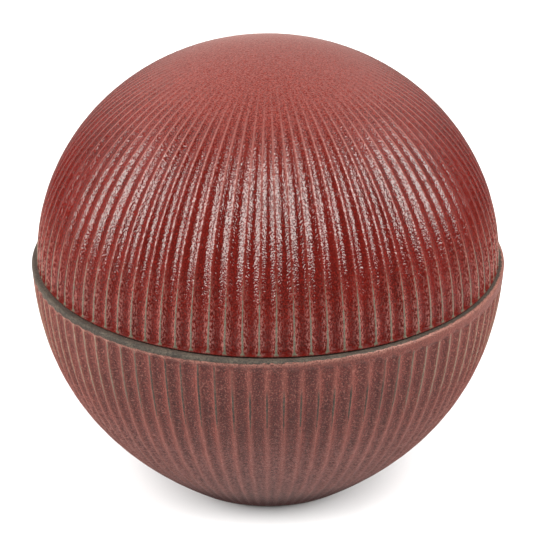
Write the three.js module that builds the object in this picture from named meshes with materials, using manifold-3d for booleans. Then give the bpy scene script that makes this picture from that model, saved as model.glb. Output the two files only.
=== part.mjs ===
// A ball-shaped stoneware jar: a lower bowl and a domed lid that lifts off, both cut all round
// with narrow upright flutes. Millimetres, +Z up. The origin is the middle of the foot, on the
// surface that the jar stands on, and the jar's axis is the Z axis.
import * as THREE from 'three';
import { mergeVertices } from 'three/addons/utils/BufferGeometryUtils.js';
import Module from 'manifold-3d';

const wasm = await Module();
wasm.setup();

// The outside. Heights called "rise" or "drop" are measured from the seam.
const SEAM_HEIGHT = 64.9; // the ledge that the lid rests on
const BOWL_RADIUS = 65; // the bowl's shoulder, just under the ledge
const FOOT_RADIUS = 26.5;
const LID_RADIUS = 63.5; // the lid's edge, over the ridges
const LID_RISE = 60.3; // the lid's crown

// The flutes: hollow cuts side by side, with a sharp ridge between each pair.
const FLUTE_COUNT = 90;
const FLUTE_DEPTH = 0.72; // at the seam, where the flutes are widest
const BOWL_TURN = THREE.MathUtils.degToRad(-0.2); // how far the bowl's ridges miss the lid's hollows
const BOWL_FLUTE_START = 2.6; // drop where the bowl's flutes begin
const BOWL_FLUTE_FULL = 4.6; // drop where they reach their full depth
const CROWN_PLAIN = THREE.MathUtils.degToRad(12); // half-angle of the lid's uncut crown
const CROWN_FULL = THREE.MathUtils.degToRad(54); // half-angle where its flutes reach full depth

// The seat: the lid's edge rests on a bare ledge and drops over a collar inside it.
const SEAT_GAP = 0.3;
const EDGE_ROUND = 0.8; // rounding of the ledge's outer corner and of the lid's edge
const EDGE_INSET = 0.5; // how far each rounded corner draws in
const COLLAR_RADIUS = 58.2;
const COLLAR_TIP_RADIUS = 57.6;
const COLLAR_RISE = 6;
const COLLAR_BITE = 2; // how far the collar's solid runs down into the bowl's

// The inside and the foot
const LID_WALL = 4.7;
const MOUTH_RADIUS = 54.6; // inside of the collar
const BOWL_FLOOR = 6.2; // height of the inside's lowest point
const FOOT_HOLLOW_RADIUS = 20;
const FOOT_HOLLOW_DEPTH = 1.2;
const CUT_PAST = 5; // how far a cutting solid runs past the face it leaves by

const LID_BANDS = 11;
const BOWL_BANDS = 9;
const INSIDE_BANDS = 8;
const INSIDE_SIDES = 60;

// Where a flute's cut stands between none, 0, and full, 1, with an eased start.
function cutShare(value, start, full) {
  return THREE.MathUtils.smoothstep(value, start, full);
}

// A flute grows shallower as it narrows, and keeps the same slope.
function fluteDepth(radius) {
  return (FLUTE_DEPTH * radius) / LID_RADIUS;
}

// One ring of a fluted outline: the radius over its ridges, its height and the depth of its hollows.
function ring(radius, height, share) {
  return { radius, height, depth: share * fluteDepth(radius) };
}

function solidOf(positions, triangles) {
  const mesh = new wasm.Mesh({
    numProp: 3,
    vertProperties: new Float32Array(positions),
    triVerts: new Uint32Array(triangles),
  });
  return new wasm.Manifold(mesh);
}

// A closed solid with the rings as its skin, from the lowest to the highest, and a flat disc or
// a low cone to the axis at each end. turn is the angle of its first ridge from the -Y axis.
function flutedSolid(rings, lowHeight, highHeight, turn) {
  const columns = 2 * FLUTE_COUNT;
  const positions = [0, 0, lowHeight, 0, 0, highHeight];
  const triangles = [];
  const corner = (row, column) => 2 + row * columns + (column % columns);
  for (const { radius, height, depth } of rings) {
    for (let column = 0; column < columns; column += 1) {
      const angle = turn + (column * Math.PI) / FLUTE_COUNT;
      const r = column % 2 === 0 ? radius : radius - depth;
      positions.push(r * Math.sin(angle), -r * Math.cos(angle), height);
    }
  }
  const last = rings.length - 1;
  for (let column = 0; column < columns; column += 1) {
    triangles.push(0, corner(0, column + 1), corner(0, column));
    triangles.push(1, corner(last, column), corner(last, column + 1));
    for (let row = 0; row < last; row += 1) {
      const low = corner(row, column);
      const lowNext = corner(row, column + 1);
      const high = corner(row + 1, column);
      const highNext = corner(row + 1, column + 1);
      triangles.push(low, lowNext, highNext, low, highNext, high);
    }
  }
  return solidOf(positions, triangles);
}

// A smooth solid turned about the axis from a profile of [radius, height] pairs.
function turnedSolid(profile) {
  const points = profile.map(([radius, height]) => new THREE.Vector2(radius, height));
  const lathe = new THREE.LatheGeometry(points, INSIDE_SIDES).rotateX(Math.PI / 2);
  lathe.deleteAttribute('normal');
  lathe.deleteAttribute('uv');
  const merged = mergeVertices(lathe, 1e-4);
  return solidOf(merged.attributes.position.array, merged.index.array);
}

// Points along the lid's outline, a quarter ellipse, from its edge to the crown, inset by a wall.
function domeOutline(inset, bands) {
  const points = [];
  for (let band = 0; band <= bands; band += 1) {
    const angle = (band / bands) * (Math.PI / 2);
    const radius = (LID_RADIUS - inset) * Math.cos(angle);
    points.push([Math.max(radius, 0), (LID_RISE - inset) * Math.sin(angle)]);
  }
  return points;
}

// Points along a cubic curve, lowest first, in heights above the table.
function curveOutline(corners, bands) {
  const curve = new THREE.CubicBezierCurve(
    ...corners.map(([radius, drop]) => new THREE.Vector2(radius, SEAM_HEIGHT - drop)),
  );
  return curve.getPoints(bands).map(({ x, y }) => [x, y]);
}

function lidSolid() {
  const base = SEAM_HEIGHT + SEAT_GAP;
  const outline = domeOutline(0, LID_BANDS).slice(1, -1);
  const edgeShare = (FLUTE_DEPTH - EDGE_INSET) / FLUTE_DEPTH;
  const rings = [
    ring(LID_RADIUS - EDGE_INSET, base, edgeShare),
    ring(LID_RADIUS, base + EDGE_ROUND, 1),
  ];
  for (const [radius, rise] of outline) {
    const fromCrown = Math.atan2(radius, rise);
    rings.push(ring(radius, SEAM_HEIGHT + rise, cutShare(fromCrown, CROWN_PLAIN, CROWN_FULL)));
  }
  const firstRidge = Math.PI / FLUTE_COUNT;
  const outside = flutedSolid(rings, base, SEAM_HEIGHT + LID_RISE, firstRidge);
  const inside = domeOutline(LID_WALL, INSIDE_BANDS).map(([r, rise]) => [r, SEAM_HEIGHT + rise]);
  const below = SEAM_HEIGHT - CUT_PAST;
  return outside.subtract(turnedSolid([[0, below], [LID_RADIUS - LID_WALL, below], ...inside]));
}

// The bowl's outside below its shoulder: nearly round at the top, straighter towards the foot.
function bowlRings() {
  const outline = curveOutline(
    [[FOOT_RADIUS, SEAM_HEIGHT], [50.8, 48], [63.5, 30], [BOWL_RADIUS, EDGE_ROUND]],
    BOWL_BANDS,
  );
  const below = outline.filter(([, height]) => height < SEAM_HEIGHT - BOWL_FLUTE_FULL);
  const rings = below.map(([radius, height]) => ring(radius, height, 1));
  rings.push(ring(BOWL_RADIUS - 0.15, SEAM_HEIGHT - BOWL_FLUTE_FULL, 1));
  rings.push(ring(BOWL_RADIUS, SEAM_HEIGHT - BOWL_FLUTE_START, 0));
  rings.push(ring(BOWL_RADIUS, SEAM_HEIGHT - EDGE_ROUND, 0));
  rings.push(ring(BOWL_RADIUS - EDGE_INSET, SEAM_HEIGHT, 0));
  return rings;
}

function collarSolid() {
  const low = SEAM_HEIGHT - COLLAR_BITE;
  const high = SEAM_HEIGHT + COLLAR_RISE;
  return turnedSolid([[0, low], [COLLAR_RADIUS, low], [COLLAR_TIP_RADIUS, high], [0, high]]);
}

function bowlInside() {
  const drop = SEAM_HEIGHT - BOWL_FLOOR;
  const hollow = curveOutline([[0, drop], [40, drop], [61.5, 34], [MOUTH_RADIUS, 0]], INSIDE_BANDS);
  const above = SEAM_HEIGHT + COLLAR_RISE + CUT_PAST;
  return turnedSolid([...hollow, [MOUTH_RADIUS, above], [0, above]]);
}

function footHollow() {
  const slope = FOOT_HOLLOW_DEPTH / 2;
  return turnedSolid([
    [0, -CUT_PAST],
    [FOOT_HOLLOW_RADIUS, -CUT_PAST],
    [FOOT_HOLLOW_RADIUS, 0],
    [FOOT_HOLLOW_RADIUS - slope, FOOT_HOLLOW_DEPTH],
    [0, FOOT_HOLLOW_DEPTH],
  ]);
}

function bowlSolid() {
  const outside = flutedSolid(bowlRings(), 0, SEAM_HEIGHT, BOWL_TURN);
  return outside.add(collarSolid()).subtract(bowlInside()).subtract(footHollow());
}

function namedMesh(name, solid, material) {
  const { vertProperties, triVerts } = solid.getMesh();
  const geometry = new THREE.BufferGeometry();
  geometry.setAttribute('position', new THREE.BufferAttribute(vertProperties, 3));
  geometry.setIndex(new THREE.BufferAttribute(triVerts, 1));
  geometry.computeVertexNormals();
  const mesh = new THREE.Mesh(geometry, material);
  mesh.name = name;
  return mesh;
}

const lidGlaze = new THREE.MeshStandardMaterial({ color: 0x8a2722, roughness: 0.3, metalness: 0 });
const bowlGlaze = new THREE.MeshStandardMaterial({ color: 0x8c554f, roughness: 0.7, metalness: 0 });

const jar = new THREE.Group();
jar.add(namedMesh('bowl', bowlSolid(), bowlGlaze));
jar.add(namedMesh('lid', lidSolid(), lidGlaze));

export default jar;
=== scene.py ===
"""Looks for a ball-shaped stoneware jar: a fluted bowl and a fluted lid that lifts off, glazed red.

Metres, +Z up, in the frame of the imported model. Each piece is one closed mesh of revolution whose
outside is pressed in between ninety ridges. The glaze, the bare clay and the grain are node
materials, driven by the object's own coordinates and by attributes stored on the meshes.
"""

from dataclasses import dataclass
import math

import bpy
import numpy as np
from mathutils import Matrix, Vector


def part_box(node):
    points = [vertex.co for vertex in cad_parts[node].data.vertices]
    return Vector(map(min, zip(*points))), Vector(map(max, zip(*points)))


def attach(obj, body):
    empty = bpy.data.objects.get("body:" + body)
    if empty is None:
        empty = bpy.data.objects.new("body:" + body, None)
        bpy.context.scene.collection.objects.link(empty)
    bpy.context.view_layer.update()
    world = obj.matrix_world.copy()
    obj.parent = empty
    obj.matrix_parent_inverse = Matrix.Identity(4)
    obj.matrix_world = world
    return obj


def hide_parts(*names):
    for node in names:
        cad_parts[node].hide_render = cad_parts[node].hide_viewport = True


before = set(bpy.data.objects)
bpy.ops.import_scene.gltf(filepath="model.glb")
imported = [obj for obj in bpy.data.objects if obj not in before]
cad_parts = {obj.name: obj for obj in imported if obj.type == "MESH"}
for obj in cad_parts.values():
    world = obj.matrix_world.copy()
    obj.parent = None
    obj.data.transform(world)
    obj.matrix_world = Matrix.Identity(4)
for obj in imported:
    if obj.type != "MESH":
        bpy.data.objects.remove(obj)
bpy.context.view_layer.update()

MM = 0.001

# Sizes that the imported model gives
_, BOWL_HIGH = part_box("bowl")
LID_LOW, LID_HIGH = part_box("lid")
BOWL_RADIUS = BOWL_HIGH.x
COLLAR_TOP = BOWL_HIGH.z
LID_RADIUS = LID_HIGH.x
CROWN = LID_HIGH.z
SEAM = LID_LOW.z - 0.3 * MM  # the ledge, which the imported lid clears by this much
LID_FOOT = LID_LOW.z - 0.25 * MM  # here the lid's rounded edge comes down almost to the ledge
LID_RISE = CROWN - SEAM

# The bowl
FOOT_RADIUS = 26.5 * MM
FOOT_HOLLOW_RADIUS = 20 * MM
FOOT_HOLLOW_DEPTH = 1.2 * MM
SHOULDER_ROUND = 0.7 * MM
COLLAR_RADIUS = 58.2 * MM
COLLAR_TIP_RADIUS = 57.6 * MM
COLLAR_LIP = 1.1 * MM  # rounding of the collar's top, inside and out
COLLAR_FILLET = 0.5 * MM  # where the collar rises from the ledge
MOUTH_RADIUS = 54.6 * MM
BOWL_FLOOR = 6.2 * MM

# The lid
LID_WALL = 4.7 * MM
EDGE_ROUND = 0.5 * MM  # how far up the rounding of the lid's edge reaches
EDGE_INSET = 0.4 * MM  # how far it draws the edge in
INNER_ROUND = 0.9 * MM  # rounding of the edge's inner corner

# The flutes
FLUTES = 90
LID_DEPTH = 0.72 * MM  # at the widest ring; a flute grows shallower as it narrows
BOWL_DEPTH = 1.0 * MM
# Where the flutes begin, in mm: see hand_cut
LID_CUT = {"turn": 0.5, "way": 1, "first": 0.45, "run": 0.8, "tilt": 0.0}
BOWL_CUT = {"turn": -0.05, "way": -1, "first": 1.5, "run": 2.0, "tilt": 1.0}
# The errors of work by hand, the first three as standard deviations
RIDGE_ERROR = 0.025  # of a ridge's place, in flutes
DEPTH_ERROR = 0.06  # of a flute's depth, as a share of it
START_ERROR = 0.1  # of a flute's start, in mm
DRIFT = 0.02  # how far a ridge sways to each side on its way up, in flutes
DRIFT_RATE = 0.12  # how fast it sways, in radians for each mm
# Where wear has taken this much off the edge, all of it counts as ridge, so bare clay can show
WORN_BLEND = 0.06 * MM

GLAZE_GRAIN = 0.42 * MM

# Rows of the mesh up each fluted outside, besides the closer ones next to the seam
LID_ROWS = 70
BOWL_ROWS = 62

# Columns of the mesh across one flute, as shares of its width; the ridge is at 0
COLUMNS = (0.0, 0.04, 0.1, 0.2, 0.3, 0.4, 0.5, 0.6, 0.7, 0.8, 0.9, 0.96)
COARSE = 6  # plain surfaces use every sixth column
FINE = 1
COLUMN_SHARE = np.tile(np.array(COLUMNS), FLUTES)
COLUMN_FLUTE = np.repeat(np.arange(FLUTES), len(COLUMNS))
COLUMN_COUNT = len(COLUMN_SHARE)
FLUTE_ANGLE = 2 * math.pi / FLUTES
SHARP_EDGE = math.radians(50)  # an edge that bends by more than this stays crisp

rng = np.random.default_rng(7)


# ---------------------------------------------------------------- curves

def smoothstep(low, high, value):
    t = np.clip((value - low) / (high - low), 0, 1)
    return t * t * (3 - 2 * t)


def bezier(corners, count):
    """count + 1 points along a cubic curve with these four corners."""
    p = np.array(corners, float)
    t = np.linspace(0, 1, count + 1)[:, None]
    u = 1 - t
    return u**3 * p[0] + 3 * u**2 * t * p[1] + 3 * u * t**2 * p[2] + t**3 * p[3]


def arc(centre, radius, start, end, count):
    """Points on a round corner, from one angle to another in degrees, 0 pointing outwards."""
    angles = np.radians(np.linspace(start, end, count + 1))
    return np.c_[centre[0] + radius * np.cos(angles), centre[1] + radius * np.sin(angles)]


def hollow_share(share, sharp):
    """How deep the cut is across a flute, 0 at its ridges and 1 at its middle. The hollow is an
    arc out to sharp, as a share of the flute's width from its middle; the ridge is rounded."""
    x = np.abs(share - 0.5)
    crest = 0.5 - sharp
    whole = sharp / 2 + 2 * crest / math.pi
    hollow = x * x / (2 * sharp)
    ridge = sharp / 2 + 2 * crest / math.pi * np.sin(math.pi * (x - sharp) / (2 * crest))
    return 1 - np.where(x < sharp, hollow, ridge) / whole


# ---------------------------------------------------------------- mesh of revolution

@dataclass
class Ring:
    """One ring of a piece. glaze is how far it lies inside the glazed part, in mm, depth is the
    flutes' depth, limit the largest radius that a worn edge leaves, sharp where a flute's hollow
    meets its rounded ridge, and stride picks every so many columns."""
    radius: float
    height: float
    glaze: float
    depth: float
    limit: float
    sharp: float
    stride: int


def rings_of(points, glaze, stride=COARSE, depth=0.0, limit=np.inf, sharp=0.28):
    """Rings at points of (radius, height). Each other value is one for all or one for each."""
    count = len(points)
    columns = [np.broadcast_to(value, count) for value in (glaze, depth, limit, sharp)]
    return [Ring(*point, *values, stride) for point, *values in zip(points, *columns)]


@dataclass
class Cuts:
    """How the flutes of a piece were cut, with the small errors of work by hand."""
    turn: float  # where the first ridge stands, in flutes from the -Y axis
    way: int  # 1 where the flutes run up from the seam, -1 where they run down
    run: float  # how many mm a flute takes to reach its depth
    start: np.ndarray  # how many mm from the seam each flute begins
    ridge: np.ndarray  # how far each ridge stands out of its place, in flutes
    depth: np.ndarray  # each flute's depth, 1 being the right one
    wave: np.ndarray  # the phase of each ridge's slow drift
    tint: np.ndarray  # how dark the glaze came out in each flute, 0 to 1


def hand_cut(turn, way, first, run, tilt):
    """Flutes that begin first mm from the seam, plus up to tilt mm more on the +X side."""
    ridge = rng.normal(0, RIDGE_ERROR, FLUTES)
    depth = 1 + rng.normal(0, DEPTH_ERROR, FLUTES)
    wave = rng.uniform(0, 2 * math.pi, FLUTES)
    angle = (np.arange(FLUTES) + 0.5 + turn) * FLUTE_ANGLE
    start = first + tilt * np.sin(angle) + rng.normal(0, START_ERROR, FLUTES)
    tint = rng.uniform(0, 1, FLUTES)
    return Cuts(turn, way, run, start, ridge, depth, wave, tint)


def cut_ring(ring, cuts):
    """The points of one ring and the value of each attribute at them."""
    pick = np.arange(0, COLUMN_COUNT, ring.stride)
    share, flute = COLUMN_SHARE[pick], COLUMN_FLUTE[pick]
    following = (flute + 1) % FLUTES
    out_of_place = cuts.ridge + DRIFT * np.sin(ring.height / MM * DRIFT_RATE + cuts.wave)
    shift = (1 - share) * out_of_place[flute] + share * out_of_place[following]
    angle = (flute + share + cuts.turn + shift) * FLUTE_ANGLE
    start = cuts.start[flute]
    gouge = smoothstep(start, start + cuts.run, cuts.way * (ring.height - SEAM) / MM)
    depth = ring.depth * cuts.depth[flute]
    unworn = ring.radius - depth * np.maximum(hollow_share(share, ring.sharp) - 1 + gouge, 0)
    radius = np.minimum(unworn, ring.limit)
    worn = np.clip((unworn - radius) / WORN_BLEND, 0, 1)
    flute_mm = ring.radius * FLUTE_ANGLE / MM
    height = np.full(len(pick), ring.height)
    values = {
        "ridge_mm": np.minimum(share, 1 - share) * flute_mm * (1 - worn),
        "cut": ring.depth / LID_DEPTH * gouge,
        "glaze_mm": np.full(len(pick), ring.glaze),
        "tint": cuts.tint[flute],
    }
    return np.c_[radius * np.sin(angle), -radius * np.cos(angle), height], values


def band_faces(low_start, low_stride, high_start, high_stride):
    """Faces between two rings, whose numbers of columns may differ."""
    low_count, high_count = COLUMN_COUNT // low_stride, COLUMN_COUNT // high_stride
    step = max(low_stride, high_stride)
    faces = []
    for column in range(0, COLUMN_COUNT, step):
        low_first, high_first = column // low_stride, column // high_stride
        low = [low_start + (low_first + i) % low_count for i in range(step // low_stride + 1)]
        high = [high_start + (high_first + i) % high_count for i in range(step // high_stride + 1)]
        faces.append(low + high[::-1])
    return faces


def revolve(name, rings, cuts):
    """A closed mesh from the rings, in order from one end on the axis to the other, with its
    flutes cut and its attributes stored."""
    cut = [cut_ring(ring, cuts) for ring in rings]
    counts = [len(points) for points, _ in cut]
    starts = np.concatenate([[0], np.cumsum(counts)]).tolist()
    faces = []
    for row in range(len(rings) - 1):
        low, high = rings[row], rings[row + 1]
        faces += band_faces(starts[row], low.stride, starts[row + 1], high.stride)
    pole, top = starts[-1], starts[-2]
    n_first, n_last = counts[0], counts[-1]
    faces += [(pole, (i + 1) % n_first, i) for i in range(n_first)]
    faces += [(pole + 1, top + i, top + (i + 1) % n_last) for i in range(n_last)]
    poles = np.array([[0, 0, rings[0].height], [0, 0, rings[-1].height]])
    mesh = bpy.data.meshes.new(name)
    mesh.from_pydata(np.concatenate([*(p for p, _ in cut), poles]).tolist(), [], faces)
    mesh.validate()
    mesh.shade_smooth()
    at_poles = {"ridge_mm": [3.0] * 2, "cut": [0.0] * 2, "tint": [0.5] * 2}
    at_poles["glaze_mm"] = [rings[0].glaze, rings[-1].glaze]
    for key, ends in at_poles.items():
        attribute = mesh.attributes.new(key, "FLOAT", "POINT")
        values = np.concatenate([*(v[key] for _, v in cut), ends])
        attribute.data.foreach_set("value", values.astype(np.float32))
    mesh.set_sharp_from_angle(angle=SHARP_EDGE)
    piece = bpy.data.objects.new(name, mesh)
    bpy.context.scene.collection.objects.link(piece)
    return piece


# ---------------------------------------------------------------- the lid

def lid_inside():
    """Rings down the inside of the dome, round its edge's inner corner and out under the edge."""
    inner_radius, inner_rise = LID_RADIUS - LID_WALL, LID_RISE - LID_WALL
    angles = np.radians(np.linspace(87, 0, 26))
    dome = np.c_[inner_radius * np.cos(angles), SEAM + inner_rise * np.sin(angles)]
    dome = dome[dome[:, 1] > LID_FOOT + 1.2 * MM]
    rings = rings_of(dome, (dome[:, 1] - LID_FOOT) / MM - 3)
    corner = (inner_radius + INNER_ROUND, LID_FOOT + INNER_ROUND)
    rings += rings_of(arc(corner, INNER_ROUND, 180, 270, 4), -2.5)
    flat = np.linspace(corner[0], LID_RADIUS - EDGE_INSET, 4)[1:-1]
    return rings + rings_of([(radius, LID_FOOT) for radius in flat], [-2, -1])


def lid_outside():
    """Rings up the fluted outside of the lid, from its edge to near the crown."""
    near_edge = np.array([0, 0.04, 0.1, 0.2, 0.33, 0.5, 0.7, 0.9, 1.1, 1.3, 1.5]) * MM
    first = math.asin((LID_FOOT + near_edge[-1] - SEAM) / LID_RISE)
    angles = np.linspace(first, math.radians(76), LID_ROWS)[1:]
    height = np.r_[LID_FOOT + near_edge, SEAM + LID_RISE * np.sin(angles)]
    radius = LID_RADIUS * np.sqrt(1 - ((height - SEAM) / LID_RISE) ** 2)
    worn = np.clip(1 - (height - LID_FOOT) / EDGE_ROUND, 0, 1)
    limit = np.where(worn > 0, LID_RADIUS - EDGE_INSET * (1 - np.sqrt(1 - worn**2)), np.inf)
    from_crown = np.degrees(np.arctan2(radius, height - SEAM))
    low = smoothstep(68, 86, from_crown)
    deeper = smoothstep(12, 42, from_crown) * (1 + 0.25 * low)
    depth = LID_DEPTH * radius / LID_RADIUS * deeper
    glaze = (height - LID_FOOT) / MM
    return rings_of(np.c_[radius, height], glaze, FINE, depth, limit, 0.28 + 0.13 * low)


def lid_crown():
    """Rings over the plain crown."""
    angles = np.radians(np.linspace(77.2, 88.5, 8))
    crown = np.c_[LID_RADIUS * np.cos(angles), SEAM + LID_RISE * np.sin(angles)]
    return rings_of(crown, 40)


def make_lid():
    rings = lid_inside() + lid_outside() + lid_crown()
    return revolve("jar_lid", rings, hand_cut(**LID_CUT))


# ---------------------------------------------------------------- the bowl

def bowl_foot():
    """Rings across the hollow under the foot and the flat ring that the jar stands on."""
    hollow = [(radius, FOOT_HOLLOW_DEPTH) for radius in (6 * MM, 12 * MM, FOOT_HOLLOW_RADIUS - 1 * MM)]
    slope = [(FOOT_HOLLOW_RADIUS, 0.3 * MM), (FOOT_HOLLOW_RADIUS + 0.6 * MM, 0)]
    stand = [(FOOT_RADIUS - 0.8 * MM, 0), (FOOT_RADIUS - 0.25 * MM, 0.04 * MM)]
    return rings_of(hollow, [4, 4, 2]) + rings_of(slope, -1) + rings_of(stand, -1)


def bowl_outside():
    """Rings up the fluted outside of the bowl, from its foot to its shoulder."""
    curve = bezier([
        (FOOT_RADIUS, 0),
        (50.8 * MM, SEAM - 48 * MM),
        (63.5 * MM, SEAM - 30 * MM),
        (BOWL_RADIUS, SEAM),
    ], 2000)
    near_top = SEAM - np.linspace(6.2, 0.7, 20) * MM
    height = np.r_[np.linspace(0, SEAM - 6.8 * MM, BOWL_ROWS), near_top]
    radius = np.interp(height, curve[:, 1], curve[:, 0])
    drop = (SEAM - height) / MM
    deeper = smoothstep(0, 8, height / MM) * (0.8 + 0.2 * smoothstep(2, 14, drop))
    depth = BOWL_DEPTH * radius / BOWL_RADIUS * deeper
    sharp = 0.3 + 0.12 * smoothstep(30, 16, drop)
    height[0] = 0.3 * MM  # the foot's outer corner
    glaze = np.minimum(height / MM + 1, (SEAM - height) / MM - 0.35)
    return rings_of(np.c_[radius, height], glaze, FINE, depth, sharp=sharp)


def bowl_rim():
    """Rings over the shoulder, in along the ledge, and over the collar."""
    shoulder = (BOWL_RADIUS - SHOULDER_ROUND, SEAM - SHOULDER_ROUND)
    rings = rings_of(arc(shoulder, SHOULDER_ROUND, 18, 90, 4), [0.33, 0.11, -0.11, -0.33, -0.55])
    ledge = np.linspace(BOWL_RADIUS - 1.4 * MM, COLLAR_RADIUS + 0.6 * MM, 4)
    rings += rings_of([(radius, SEAM) for radius in ledge], (ledge - BOWL_RADIUS) / MM + 0.15)
    fillet = (COLLAR_RADIUS + COLLAR_FILLET, SEAM + COLLAR_FILLET)
    rings += rings_of(arc(fillet, COLLAR_FILLET, 270, 180, 3), -3)
    rings += rings_of([(COLLAR_RADIUS - 0.3 * MM, SEAM + 3 * MM)], -3)
    outer = (COLLAR_TIP_RADIUS - COLLAR_LIP, COLLAR_TOP - COLLAR_LIP)
    rings += rings_of(arc(outer, COLLAR_LIP, 0, 90, 4), -3)
    inner = (MOUTH_RADIUS + COLLAR_LIP, COLLAR_TOP - COLLAR_LIP)
    return rings + rings_of(arc(inner, COLLAR_LIP, 90, 180, 4), [-1, -0.5, 0, 0.5, 1])


def bowl_inside():
    """Rings down the glazed inside to the middle of its floor."""
    curve = bezier([
        (MOUTH_RADIUS, SEAM),
        (61.5 * MM, SEAM - 34 * MM),
        (40 * MM, BOWL_FLOOR),
        (0, BOWL_FLOOR),
    ], 26)
    return rings_of(curve[:-1], 6)


def make_bowl():
    rings = bowl_foot() + bowl_outside() + bowl_rim() + bowl_inside()
    return revolve("jar_bowl", rings, hand_cut(**BOWL_CUT))


# ---------------------------------------------------------------- node helpers

class Signal:
    """A value in a node tree. Arithmetic on it adds Math nodes."""

    def __init__(self, graph, socket):
        self.graph = graph
        self.socket = socket

    def __add__(self, other):
        return self.graph.math("ADD", self, other)

    def __sub__(self, other):
        return self.graph.math("SUBTRACT", self, other)

    def __rsub__(self, other):
        return self.graph.math("SUBTRACT", other, self)

    def __mul__(self, other):
        return self.graph.math("MULTIPLY", self, other)

    def __truediv__(self, other):
        return self.graph.math("DIVIDE", self, other)

    def __abs__(self):
        return self.graph.math("ABSOLUTE", self)


class Graph:
    """Short calls that add nodes to the tree of a material or a world."""

    def __init__(self, owner, coordinates):
        owner.use_nodes = True
        self.tree = owner.node_tree
        where = self.tree.nodes.new("ShaderNodeTexCoord").outputs[coordinates]
        self.where = Signal(self, where)

    def feed(self, socket, value):
        if isinstance(value, Signal):
            self.tree.links.new(value.socket, socket)
        elif value is not None:
            socket.default_value = value

    def attribute(self, name):
        node = self.tree.nodes.new("ShaderNodeAttribute")
        node.attribute_name = name
        return Signal(self, node.outputs["Fac"])

    def axis(self, name):
        node = self.tree.nodes.new("ShaderNodeSeparateXYZ")
        self.feed(node.inputs[0], self.where)
        return Signal(self, node.outputs[name])

    def math(self, operation, a, b=None):
        node = self.tree.nodes.new("ShaderNodeMath")
        node.operation = operation
        self.feed(node.inputs[0], a)
        self.feed(node.inputs[1], b)
        return Signal(self, node.outputs[0])

    def step(self, value, low, high, out_low=0.0, out_high=1.0):
        """An eased step from out_low at low to out_high at high."""
        node = self.tree.nodes.new("ShaderNodeMapRange")
        node.interpolation_type = "SMOOTHSTEP"
        names = ("Value", "From Min", "From Max", "To Min", "To Max")
        for name, given in zip(names, (value, low, high, out_low, out_high)):
            self.feed(node.inputs[name], given)
        return Signal(self, node.outputs["Result"])

    def mix(self, share, a, b):
        """A colour between a, at 0, and b, at 1."""
        node = self.tree.nodes.new("ShaderNodeMix")
        node.data_type = "RGBA"
        node.clamp_factor = True
        self.feed(node.inputs["Factor"], share)
        self.feed(node.inputs["A"], a)
        self.feed(node.inputs["B"], b)
        return Signal(self, node.outputs["Result"])

    def noise(self, size, detail=2.0, roughness=0.5, stretch=None):
        """Noise with features of about this size in metres."""
        node = self.tree.nodes.new("ShaderNodeTexNoise")
        where = self.where
        if stretch is not None:
            mapping = self.tree.nodes.new("ShaderNodeMapping")
            mapping.inputs["Scale"].default_value = stretch
            self.feed(mapping.inputs["Vector"], where)
            where = Signal(self, mapping.outputs["Vector"])
        self.feed(node.inputs["Vector"], where)
        node.inputs["Scale"].default_value = 1 / size
        node.inputs["Detail"].default_value = detail
        node.inputs["Roughness"].default_value = roughness
        return Signal(self, node.outputs["Fac"])

    def bump(self, height, distance, normal=None):
        node = self.tree.nodes.new("ShaderNodeBump")
        node.inputs["Distance"].default_value = distance
        node.inputs["Strength"].default_value = 1.0
        self.feed(node.inputs["Height"], height)
        self.feed(node.inputs["Normal"], normal)
        return Signal(self, node.outputs["Normal"])


class Ware(Graph):
    """The material of a glazed piece, with the attributes of its mesh at hand."""

    def __init__(self, name):
        self.material = bpy.data.materials.new(name)
        super().__init__(self.material, "Object")
        self.shader = self.tree.nodes["Principled BSDF"]
        self.ridge = self.attribute("ridge_mm")
        self.cut = self.attribute("cut")
        self.glaze_mm = self.attribute("glaze_mm")
        self.tint = self.attribute("tint")
        self.wander = (self.noise(0.9 * MM, 2) - 0.5) * 0.5  # makes the edges of bare clay uneven

    def bare_ridges(self, width, softness, where):
        """How far the clay shows: within width mm of a ridge, with an uneven edge."""
        broken = self.step(self.ridge - width + self.wander, softness, -0.06)
        return self.math("MINIMUM", broken * (self.cut * where), 1.0)

    def finish(self, sheen_tint, **linked):
        """Sets the shader's sockets: linked vary over the surface, the others don't."""
        for name, value in linked.items():
            self.feed(self.shader.inputs[name.replace("_", " ")], value)
        self.shader.inputs["IOR"].default_value = 1.5
        self.shader.inputs["Sheen Roughness"].default_value = 0.35
        self.shader.inputs["Sheen Tint"].default_value = sheen_tint


# ---------------------------------------------------------------- colours

def srgb(red, green, blue):
    """A colour given as it looks on a screen, 0 to 255, as linear numbers for a shader."""
    def linear(c):
        c /= 255
        return c / 12.92 if c <= 0.04045 else ((c + 0.055) / 1.055) ** 2.4
    return (linear(red), linear(green), linear(blue), 1.0)


CLAY = srgb(54, 47, 40)
CLAY_LIGHT = srgb(68, 60, 51)
CLAY_GRAIN = srgb(24, 20, 17)
CLAY_GAP_SHADOW = srgb(10, 8, 7)  # painted shadow of the gap on the lid's bare edge, where it meets the ledge
RIDGE_CLAY = srgb(92, 90, 76)  # on the lid's ridges
SIDE_CLAY_LIT = srgb(124, 104, 87)  # painted light: the bowl's ridge clay paler at its sides, where the side lights catch it

LID_RED = srgb(60, 8, 5)
LID_RED_LIGHT = srgb(70, 10, 7)
LID_RED_DARK = srgb(46, 6, 4)
# paler crown: thinner glaze and painted light from above
LID_CROWN_THIN_AND_LIT = srgb(92, 22, 15)
LID_GRAIN = srgb(88, 17, 12)
# pale flecks: glaze speckle and painted sheen on the crown
LID_FLECK_SHEEN = srgb(124, 57, 50)
LID_THIN = srgb(96, 38, 32)
# painted highlight along the lid's ridge tops
LID_CREST_GLINT = srgb(142, 97, 92)
# pale streaks on the lid's flanks: streaky glaze and painted sheen
LID_STREAK_SHEEN = srgb(132, 84, 78)
# painted shade just above the lid's edge
LID_EDGE_SHADE = srgb(62, 9, 6)
LID_SHEEN = srgb(255, 214, 206)

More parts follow.
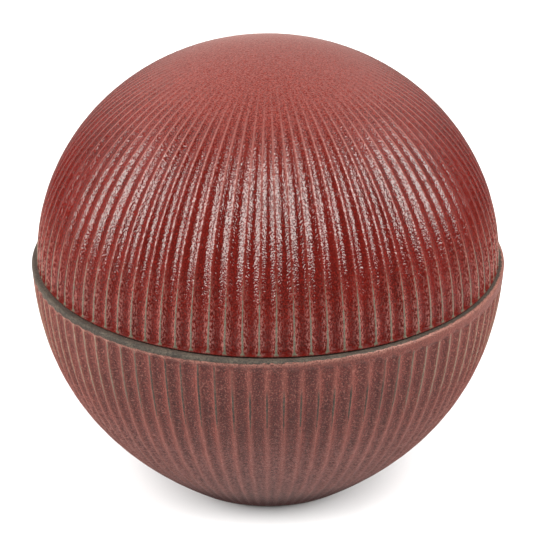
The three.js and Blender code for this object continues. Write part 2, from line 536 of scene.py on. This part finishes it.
BOWL_RED = srgb(82, 30, 26)
BOWL_RED_LIGHT = srgb(93, 37, 31)
BOWL_RED_DARK = srgb(66, 25, 22)
BOWL_SPECK = srgb(54, 20, 16)
BOWL_THIN = srgb(112, 58, 48)
BOWL_FLECK = srgb(150, 96, 84)
BOWL_LOWER_MOTTLE = srgb(124, 80, 74)
# painted shade at the bowl's foot
BOWL_FOOT_SHADE = srgb(60, 14, 13)
BOWL_UNCUT = srgb(92, 46, 39)
BOWL_LINE = srgb(124, 82, 71)
BOWL_SHEEN = srgb(255, 200, 190)


# ---------------------------------------------------------------- materials

def clay_colour(g):
    """Bare fired stoneware: warm grey with fine dark grains."""
    grain = g.step(g.noise(0.5 * MM, 2, 0.6), 0.38, 0.62)
    cloud = g.step(g.noise(5 * MM, 2), 0.35, 0.65)
    return g.mix(grain * 0.75, g.mix(cloud, CLAY, CLAY_LIGHT), CLAY_GRAIN)


def lid_red(g, height, grain):
    """The lid's glaze where it lies thick, speckled and paler towards the crown: partly thinner
    glaze there, partly painted light and sheen from above. height is in mm.
    """
    red = g.mix(g.step(g.noise(9 * MM, 3), 0.35, 0.65), LID_RED, LID_RED_LIGHT)
    red = g.mix(g.tint * 0.3, red, LID_RED_DARK)
    # Paler towards the crown: partly thinner glaze there, partly painted light from above
    red = g.mix(g.step(height, 48, 60, 0.0, 0.6), red, LID_CROWN_THIN_AND_LIT)
    red = g.mix(g.step(grain, 0.45, 0.75), red, LID_GRAIN)
    # Pale flecks, thickest at the crown: partly speckle in the glaze, partly painted sheen standing in
    # for the crown's grainy reflection
    fleck_and_sheen = g.step(g.noise(0.4 * MM, 2, 0.7), 0.44, 0.6)
    return g.mix(fleck_and_sheen * g.step(height, 38, 57, 0.05, 0.65), red, LID_FLECK_SHEEN)


def lid_glaze(g, height, grain):
    """The lid's glaze, paler where it lies thin beside a ridge, with a painted highlight along the
    ridge tops high up, and broken into fine pale streaks towards the edge, most of them up the sides
    of a flute, partly streaky glaze and partly painted sheen. Just above the edge it is darkened with
    painted shade."""
    thin = g.step(g.ridge, 0.65, 0.15) * g.cut
    glaze = g.mix(thin * 0.4, lid_red(g, height, grain), LID_THIN)
    # Painted highlight: a pale line along the ridge tops high on the lid, standing in for glints
    crest = g.step(g.ridge, 0.38, 0.1) * (g.cut * g.step(height, 30, 50))
    glaze = g.mix(crest * 0.6, glaze, LID_CREST_GLINT)
    # Pale streaks up the flanks of the flutes low on the lid: partly the glaze's streaky texture,
    # partly painted sheen from the side lights
    flank_sheen_share = g.step(g.ridge, 1.9, 0.5, 0.12, 1.0) * g.step(height, 24, 5)
    streak_and_sheen = g.step(g.noise(0.34 * MM, 2, 0.6, stretch=(1, 1, 0.4)), 0.45, 0.6) * flank_sheen_share
    glaze = g.mix(streak_and_sheen * 0.75, glaze, LID_STREAK_SHEEN)
    # Painted shade: the glaze darkens over the last few mm above the lid's edge, next to the seam
    return g.mix(g.step(height, 2.4, 0.8, 0.0, 0.6), glaze, LID_EDGE_SHADE)


def lid_material():
    g = Ware("lid_glaze")
    height = (g.axis("Z") - LID_FOOT) / MM
    grain = g.noise(GLAZE_GRAIN, 0.5)
    clay = clay_colour(g)
    # Clay shows along the ridges, more towards the edge, and all along the edge itself; along the edge
    # it is painted near-black as the shadow of the gap over the ledge
    width = g.step(height, 22, 2, 0.05, 0.22) + g.step(height, 1.7, 0.4, 0.0, 0.5)
    ridges = g.bare_ridges(width, 0.08, g.step(height, 24, 13))
    bare_edge_shadowed = g.step(g.glaze_mm + g.wander * 0.5, 0.48, 0.34)
    colour = g.mix(ridges, lid_glaze(g, height, grain), g.mix(0.5, clay, RIDGE_CLAY))
    # Painted shadow: the bare clay of the edge is mostly near-black, standing in for the shade in the
    # gap above the ledge
    colour = g.mix(bare_edge_shadowed, colour, g.mix(0.8, clay, CLAY_GAP_SHADOW))
    # Glossiest half way up, and pitted all over like the skin of an orange
    gloss = g.step(height, 15, 6, 0.09, 0.25) + g.step(height, 42, 58, 0.0, 0.26)
    pits = g.step(g.noise(0.45 * MM, 1), 0.38, 0.54, 0.14, 0.56)
    sheen = g.step(height, 16, 5, 0.0, 0.06) + g.step(height, 46, 59, 0.0, 0.12)
    g.finish(
        LID_SHEEN,
        Base_Color=colour,
        Roughness=gloss + g.math("MAXIMUM", bare_edge_shadowed, ridges) * 0.3,
        Normal=g.bump(grain, 0.125 * MM, g.bump(g.noise(0.9 * MM, 0), 0.04 * MM)),
        Specular_IOR_Level=pits * g.step(height, 0.8, 3.5, 0.1, 1.0),
        Sheen_Weight=sheen * g.step(height, 1, 4),
    )
    return g.material


def bowl_glaze(g, drop, speck):
    """The bowl's mottled glaze, thin on its ridges, paler and mottled lower down, and darkened
    with painted shade at the foot. drop is in mm below the seam."""
    glaze = g.mix(g.step(g.noise(8 * MM, 3), 0.35, 0.65), BOWL_RED, BOWL_RED_LIGHT)
    glaze = g.mix(g.tint * 0.25, glaze, BOWL_RED_DARK)
    glaze = g.mix(g.step(speck, 0.37, 0.58), BOWL_SPECK, glaze)
    thin = g.step(g.ridge + (speck - 0.5) * 1.4, 1.0, 0.2)
    glaze = g.mix(thin * g.cut * 0.4, glaze, BOWL_THIN)
    glaze = g.mix(g.step(g.noise(0.4 * MM, 1), 0.54, 0.66, 0.0, 0.4), glaze, BOWL_FLECK)
    # Paler mottling, more of it towards the bottom
    lower_mottle = g.step(g.noise(0.8 * MM, 3, 0.6), 0.38, 0.66) * g.step(drop, 20, 40)
    glaze = g.mix(lower_mottle * 0.7, glaze, BOWL_LOWER_MOTTLE)
    # Painted shade: the glaze darkens towards the foot, where the jar meets the floor
    return g.mix(g.step(drop, 50, 61), glaze, BOWL_FOOT_SHADE)


def bowl_ridges(g, drop):
    """Where clay shows along the bowl's ridges: the upper ones, but not the tops of those in
    front, just right of the middle, which the glaze still covers."""
    ridges = g.bare_ridges(g.step(drop, 25, 16, 0.0, 0.24), 0.06, g.step(drop, 26, 20))
    in_front = g.step(abs(g.axis("X") - 9 * MM), 26 * MM, 14 * MM)
    return ridges * (1.0 - in_front * g.step(drop, 12, 8))


def bowl_material():
    g = Ware("bowl_glaze")
    drop = (SEAM - g.axis("Z")) / MM
    speck = g.noise(GLAZE_GRAIN, 2, 0.7)
    clay = clay_colour(g)
    ridges = bowl_ridges(g, drop)
    # Painted light: the clay on the ridges is paler towards the bowl's sides, as if catching the side
    # lights
    side_light_share = g.step(abs(g.axis("X")), 26 * MM, 50 * MM, 0.0, 0.7)
    ridge_clay_side_lit = g.mix(side_light_share * g.step(speck, 0.35, 0.55, 0.35, 1.0), clay, SIDE_CLAY_LIT)
    colour = g.mix(ridges, bowl_glaze(g, drop, speck), ridge_clay_side_lit)
    # Above the flutes the glaze is plain. It ends in a ragged pale line, lower on the -X side
    uncut = g.step(g.cut, 0.6, 0.0) * g.step(drop, 8, 5)
    colour = g.mix(uncut * g.step(speck, 0.3, 0.6, 0.2, 0.8), colour, BOWL_UNCUT)
    inside = g.glaze_mm - 0.4 + g.axis("X") / (60 * MM) + (g.noise(1.5 * MM, 3, 0.6) - 0.5) * 1.1
    line = g.step(inside, 1.4, 0.1) * g.step(speck, 0.4, 0.56, 0.1, 0.95)
    bare = g.step(inside, 0.1, -0.1)
    colour = g.mix(bare, g.mix(line, colour, BOWL_LINE), clay)
    g.finish(
        BOWL_SHEEN,
        Base_Color=colour,
        Roughness=g.math("MAXIMUM", bare, ridges) * 0.3 + 0.5,
        Normal=g.bump(g.noise(GLAZE_GRAIN, 1), 0.2 * MM, g.bump(g.noise(1.2 * MM, 1), 0.08 * MM)),
        Specular_IOR_Level=g.step(drop, 52, 62, 0.42, 0.03),
        Sheen_Weight=g.step(drop, 44, 10, 0.0, 0.11),
    )
    return g.material


# ---------------------------------------------------------------- studio

VIEW_ELEVATION = math.radians(24.94)
VIEW_DISTANCE = 0.762
LENS = 186.7
AIM_SIDE = -0.4 * MM
AIM_DROP = 3.45 * MM

LIGHT_TINT = (1.0, 0.98, 0.93)
LIGHT_DISTANCE = 1.2

FLOOR_REACH = 4  # from the jar to each side of the floor
FLOOR_DROP = 0.02 * MM  # keeps the floor just clear of the foot
FLOOR_TONES = ((0.70, 0.715, 0.75, 1), (0.72, 0.735, 0.77, 1))


def make_camera():
    camera = bpy.data.objects.new("camera", bpy.data.cameras.new("camera"))
    bpy.context.scene.collection.objects.link(camera)
    back = Vector((0, -math.cos(VIEW_ELEVATION), math.sin(VIEW_ELEVATION)))
    up = Vector((0, math.sin(VIEW_ELEVATION), math.cos(VIEW_ELEVATION)))
    centre = Vector((0, 0, SEAM))
    camera.location = centre + VIEW_DISTANCE * back
    aim = centre + Vector((AIM_SIDE, 0, 0)) - AIM_DROP * up
    camera.rotation_mode = "QUATERNION"
    camera.rotation_quaternion = (aim - camera.location).to_track_quat("-Z", "Y")
    camera.data.lens = LENS
    camera.data.clip_start = 0.05
    camera.data.clip_end = 20
    bpy.context.scene.camera = camera


def softbox(name, azimuth, elevation, width, height, power, mirrored=True):
    """An area light aimed at the jar. Azimuth 0 is in front and 90 is on the right. A light that
    isn't mirrored shows in no glossy surface."""
    data = bpy.data.lights.new(name, "AREA")
    data.shape = "RECTANGLE"
    data.size = width
    data.size_y = height
    data.energy = power
    data.color = LIGHT_TINT
    light = bpy.data.objects.new(name, data)
    a, e = math.radians(azimuth), math.radians(elevation)
    away = Vector((math.sin(a) * math.cos(e), -math.cos(a) * math.cos(e), math.sin(e)))
    light.location = Vector((0, 0, SEAM)) + LIGHT_DISTANCE * away
    light.rotation_mode = "QUATERNION"
    light.rotation_quaternion = away.to_track_quat("Z", "Y")
    light.visible_glossy = mirrored
    bpy.context.scene.collection.objects.link(light)


def make_world():
    """What the glaze mirrors: a bright ceiling and wall behind the jar, a grey table below and
    near darkness in front. Each direction's up and rear are the Z and Y of a unit vector."""
    world = bpy.data.worlds.new("studio")
    bpy.context.scene.world = world
    g = Graph(world, "Generated")
    up, rear = g.axis("Z"), g.axis("Y")
    ceiling = g.step(up, 0.2, 0.65) * g.step(rear, -0.2, 0.5, 0.0, 1.25)
    wall = g.step(rear, 0.2, 0.6, 0.0, 0.35)
    table = g.math("MAXIMUM", g.step(rear, -0.3, 0.4), g.step(up, -0.4, -0.95))
    table = table * g.step(up, -0.05, -0.4, 0.0, 0.7)
    jar_shadow = g.step(up, -0.5, -0.8) * g.step(rear, 0.2, 0.45)
    light = g.math("MAXIMUM", ceiling + wall, table * (1.0 - jar_shadow)) + 0.12
    background = g.tree.nodes["Background"]
    background.inputs["Color"].default_value = (*LIGHT_TINT, 1)
    g.feed(background.inputs["Strength"], g.math("MINIMUM", light, 1.05))


def make_floor():
    corners = [(-1, -1), (1, -1), (1, 1), (-1, 1)]
    mesh = bpy.data.meshes.new("floor")
    mesh.from_pydata([(x * FLOOR_REACH, y * FLOOR_REACH, 0) for x, y in corners], [], [(0, 1, 2, 3)])
    floor = bpy.data.objects.new("floor", mesh)
    floor.location.z = -FLOOR_DROP
    floor.visible_glossy = False
    bpy.context.scene.collection.objects.link(floor)
    material = bpy.data.materials.new("floor")
    g = Graph(material, "Object")
    shader = g.tree.nodes["Principled BSDF"]
    g.feed(shader.inputs["Base Color"], g.mix(g.noise(0.4, 2), *FLOOR_TONES))
    shader.inputs["Roughness"].default_value = 0.8
    mesh.materials.append(material)


def make_studio():
    make_floor()
    make_world()
    softbox("softbox_left", -60, 34, 0.72, 1.1, 28)
    softbox("softbox_right", 60, 40, 0.72, 1.0, 26)
    softbox("fill_left", -98, 10, 0.9, 0.6, 20, mirrored=False)
    softbox("fill_right", 98, 10, 0.9, 0.6, 18, mirrored=False)
    bpy.context.scene.view_settings.view_transform = "Standard"


lid = make_lid()
bowl = make_bowl()
lid.data.materials.append(lid_material())
bowl.data.materials.append(bowl_material())
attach(lid, "lid")
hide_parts("lid")
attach(bowl, "bowl")
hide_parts("bowl")
make_studio()
make_camera()
